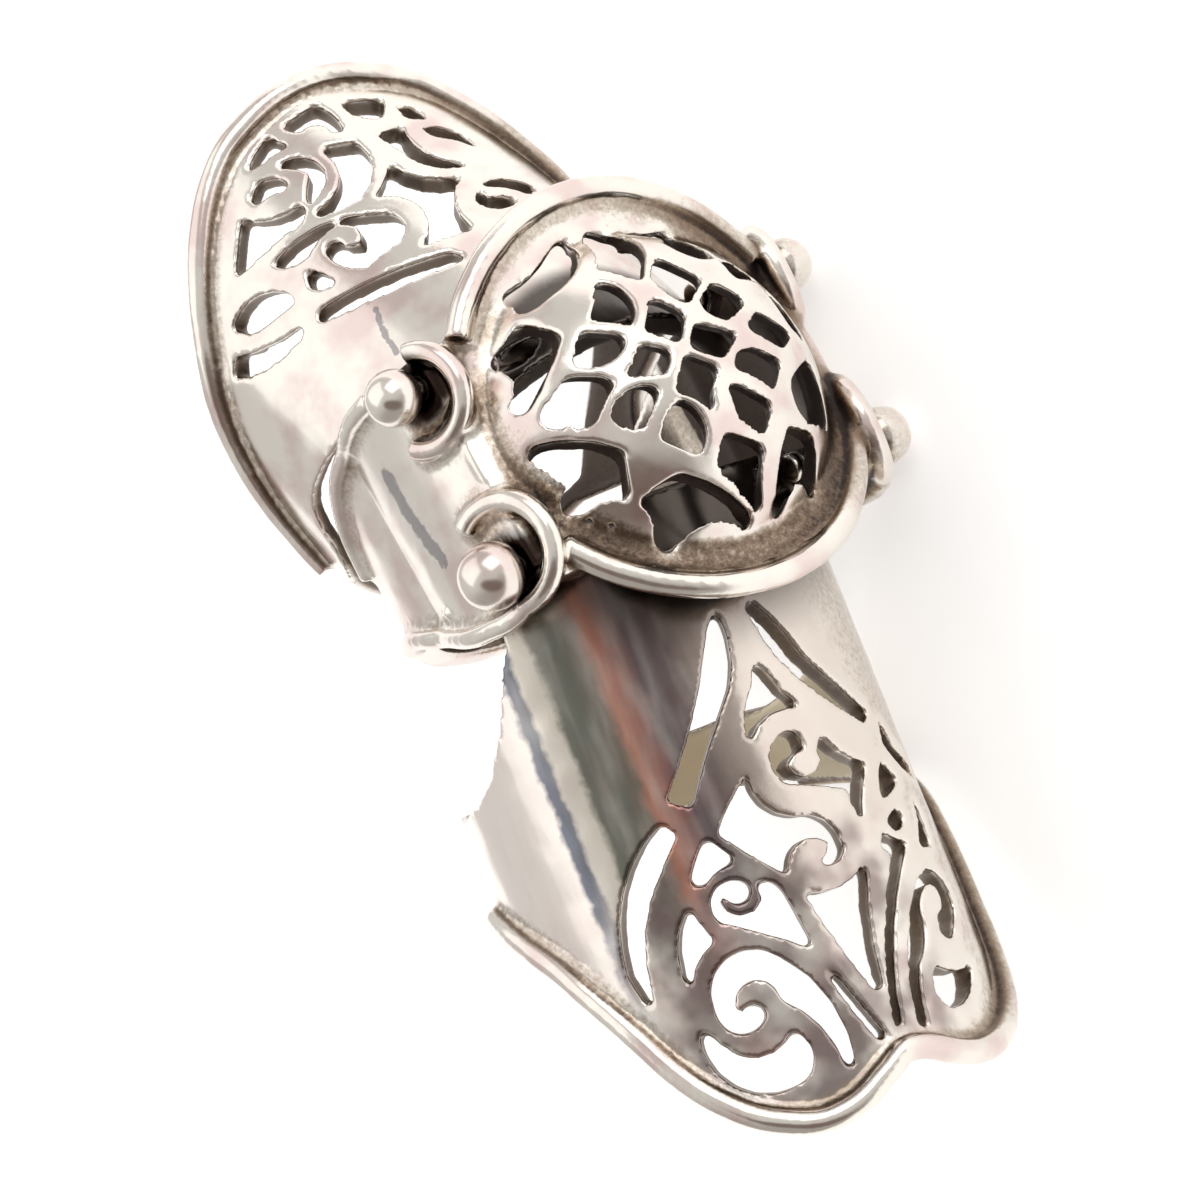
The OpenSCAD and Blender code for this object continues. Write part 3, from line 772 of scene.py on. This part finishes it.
def wornBars(points, edges, normals, wall, wear, foot):
    # the bars between the gaps, thinner and round
    points = points - normals * (evened(wall, edges, 2) * wear["off"])[:, None]
    share = np.clip(evened(wall, edges, wear["spread"]) * 2.2, 0, 1) * wear["share"]
    if foot:
        flat = np.hypot(points[:, 0], points[:, 1])
        near = smoothStep(flat, *foot[:2]) * (1 - smoothStep(flat, *foot[2:]))
        share = np.maximum(share, near * (points[:, 2] > worn["footLow"]))
    return points + (relaxed(points, edges, wear["round"], 0.5, 0) - points) * share[:, None]


def filledSeams(points, edges, normals):
    # solder fills the grooves along the wires
    hollowed = ((relaxed(points, edges, 6, 0.5, 0) - points) * normals).sum(1) / worn["hollow"]
    share = np.clip(evened(np.clip(hollowed, 0, 1), edges, 5) * 1.8, 0, 1)
    return points + (relaxed(points, edges, worn["fillet"], 0.5, 0) - points) * share[:, None]


def creaseOf(points, edges, normals):
    # how hollow it is at each point: a sharp groove and a wide one
    soft = relaxed(points, edges, 8, 0.5, 0)
    softer = relaxed(soft, edges, 40, 0.5, 0)
    crease = ((soft - points) * normals).sum(1) / worn["groove"]
    crease = crease + ((softer - points) * normals).sum(1) / worn["wideGroove"]
    return evened(crease, edges, 8) * 1.15


def rightShaded(points, node, onWire):
    # painted shade over the ring's right side, strongest on the wires
    right = smoothStep(points[:, 0], rightShade["from"], rightShade["to"])
    if node.startswith("rivet"):
        return right * rightShade["ball"]
    return right * (rightShade["sheet"] + (rightShade["wire"] - rightShade["sheet"]) * onWire)


def keep(mesh, numbers, vectors):
    # for the paint
    for name, values in numbers.items():
        spot = mesh.attributes.new(name, "FLOAT", "POINT")
        spot.data.foreach_set("value", np.asarray(values, float))
    for name, values in vectors.items():
        spot = mesh.attributes.new(name, "FLOAT_VECTOR", "POINT")
        spot.data.foreach_set("vector", values.ravel())


def dress(node, body, grid, paint, layOut, wires=()):
    onKnuckleNode = node == "knuckle"
    tubes = [roundWire(line, radius) for line, radius in wires]
    mesh = fused(node + "_skin", [shapes[node]] + tubes, grid)
    points, edges = arrays(mesh)
    points = relaxed(points, edges, worn["polish"])
    points = relaxed(points, edges, worn["soften"], 0.5, 0)
    if onKnuckleNode:
        points = relaxed(roundedFlank(points), edges, worn["soften"], 0.5, 0)
    normals = normalsOf(mesh, points)
    lay, wall, inside, facing = layOut(points, normals)
    onWire = np.zeros(len(points))
    if wires:
        far = nearLine(points, [line for line, radius in wires]) - wire["radius"]
        onWire = 1 - smoothStep(far, 0.04, wire["near"])
    wall, inside = wall * (1 - onWire), inside * (1 - onWire)
    wear = worn["web" if onKnuckleNode else "plate"]
    points = wornBars(points, edges, normals, wall, wear, worn["foot"] if onKnuckleNode else None)
    points = filledSeams(points, edges, normalsOf(mesh, points))
    normals = normalsOf(mesh, points)
    crease = creaseOf(points, edges, normals)
    recess = evened(hidden(points, normals), edges, 6) + soiled(points, node)
    points = roughened(points, normals, handWork["wobble"], handWork["wobbleSize"], 1)
    points = roughened(points, normals, handWork["grain"], handWork["grainSize"], np.clip(crease, 0, 1))
    points, pits = spotted(points, normals)
    mesh.vertices.foreach_set("co", inWorld(points).ravel())
    # painted shade, partly real patina left where polishing misses: the wires' sides darker than their ridge
    flank = onWire * smoothStep(1 - facing, 0.25, 0.85)
    numbers = {
        "recess": recess,
        "crease": np.clip(crease, -1, 1.5),
        "wall": wall,
        "inside": inside,
        "wire": onWire,
        "flank": np.maximum(flank, rightShaded(points, node, onWire)),
        "stain": np.maximum(pits, streaked(node, lay)),
        "shadow": shadowed(points, node),
    }
    keep(mesh, numbers, {"lay": lay, "place": points})
    mesh = thinned(mesh, mostTriangles)
    mesh.shade_smooth()
    mesh.update()
    piece = bpy.data.objects.new(node + "_silver", mesh)
    scene.collection.objects.link(piece)
    piece.data.materials.clear()
    piece.data.materials.append(paint)
    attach(piece, body)
    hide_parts(node)
    print(node, "dressed in", triangles(mesh), "triangles")


mostTriangles = 190000     # a piece
bodies = frame["record"]["behaviour"]["bodies"]
bodyOf = {node: body for body, nodes in bodies.items() for node in nodes}
grids = {"plate": 0.14, "knuckle": 0.14, "rivet": 0.1}

plainPaint = silverPaint("silver_worn")
knucklePaint = silverPaint("silver_deep", wallTone=silver["dark"])
tipPaint = silverPaint("silver_stained", tipStainAndReflection, hollow=silver["tan"])
rimRadius = ring["tubeRadius"] + wire["proud"]
tipWires = [(fromTube(tipRim, ring["tipDroop"], -1, rimRadius), wire["radius"])]
handWires = [(fromTube(handRim, ring["handDroop"], 1, rimRadius), wire["radius"])]
knuckleWires = [(saddleLine(*arc), wire["radius"]) for arc in wire["saddleArcs"]]
knuckleWires += [(edgeLine(rows, side), wire["edgeRadius"]) for rows in bandEdges for side in (-1, 1)]
dress("tip_plate", bodyOf["tip_plate"], grids["plate"], tipPaint,
      lambda points, normals: onPlate(points, normals, ring["tipDroop"], -1), tipWires)
dress("hand_plate", bodyOf["hand_plate"], grids["plate"], plainPaint,
      lambda points, normals: onPlate(points, normals, ring["handDroop"], 1), handWires)
dress("knuckle", bodyOf["knuckle"], grids["knuckle"], knucklePaint, onKnuckle, knuckleWires)
for node in sorted(n for n in bodyOf if n.startswith("rivet")):
    dress(node, bodyOf[node], grids["rivet"], plainPaint, onRivet)


# floor, light and air
studio = {
    "floor": shade(252, 252, 252),
    "floorGlow": 0.52,
    "floorSize": 3.0,
    "air": (1.0, 0.985, 0.965, 1.0),
    "airLow": (0.6, 0.57, 0.54, 1.0),        # from the low right
    "maker": (0.3, 0.24, 0.215, 1.0),        # whoever held the camera, as the polish shows them
    "airStrength": 0.66,
    "brightWay": (-0.6, 0.8, 0.0),           # in the camera's right, up and back
    "makerWay": (0.0, -0.52, 0.85),
    "makerWide": 0.38,
    "makerInner": 0.957,
    "makerOuter": 0.915,
}
lamps = [
    # name, direction from the ring in the camera's right/up/back, distance m, size m, watts
    ["key", (-0.1, 0.72, 0.7), 0.5, 0.34, 0.5],
    ["left", (-0.95, 0.2, 0.2), 0.6, 0.7, 0.9],
    ["rear", (0.5, 0.8, -0.4), 0.5, 0.3, 0.14],
]


def makeFloor():
    half = studio["floorSize"] / 2
    mesh = bpy.data.meshes.new("floor")
    corners = [(-half, -half, 0), (half, -half, 0), (half, half, 0), (-half, half, 0)]
    mesh.from_pydata(corners, [], [(0, 1, 2, 3)])
    floor = bpy.data.objects.new("floor", mesh)
    scene.collection.objects.link(floor)
    paint = Paint("floor_paper")
    paint.finish({"Base Color": studio["floor"], "Roughness": 0.9, "Emission Color": studio["floor"],
                  "Emission Strength": studio["floorGlow"], "Specular IOR Level": 0.1})
    mesh.materials.append(paint.material)


def makeLight():
    air = bpy.data.worlds.new("air")
    scene.world = air
    air.use_nodes = True
    sky = Paint("air", air.node_tree, "Background")
    way = sky.add("TexCoord", out="Generated")
    share = {}
    for name, axis in (("bright", studio["brightWay"]), ("maker", studio["makerWay"]), ("side", (1, 0, 0))):
        fixed = tuple(unit(np.array(axis, float)) @ cameraAxes)
        share[name] = sky.add("VectorMath", {"operation": "DOT_PRODUCT"}, {0: way, 1: fixed}, out="Value")
    bright = sky.mix(studio["airLow"], studio["air"], sky.step(share["bright"], -0.6, 0.1))
    near = share["maker"] + share["side"] * share["side"] * studio["makerWide"]
    dark = sky.step(near, studio["makerOuter"], studio["makerInner"])
    sky.finish({"Color": sky.mix(bright, studio["maker"], dark), "Strength": studio["airStrength"]})
    for name, way, distance, size, power in lamps:
        lamp = bpy.data.lights.new(name, "AREA")
        lamp.energy, lamp.size = power, size
        holder = bpy.data.objects.new(name, lamp)
        scene.collection.objects.link(holder)
        toward = Vector((unit(np.array(way)) @ cameraAxes).tolist()).normalized()
        holder.location = toward * distance
        holder.rotation_mode = "QUATERNION"
        holder.rotation_quaternion = toward.to_track_quat("Z", "Y")


makeFloor()
makeLight()
scene.view_settings.view_transform = "Standard"
print("floor and light made")
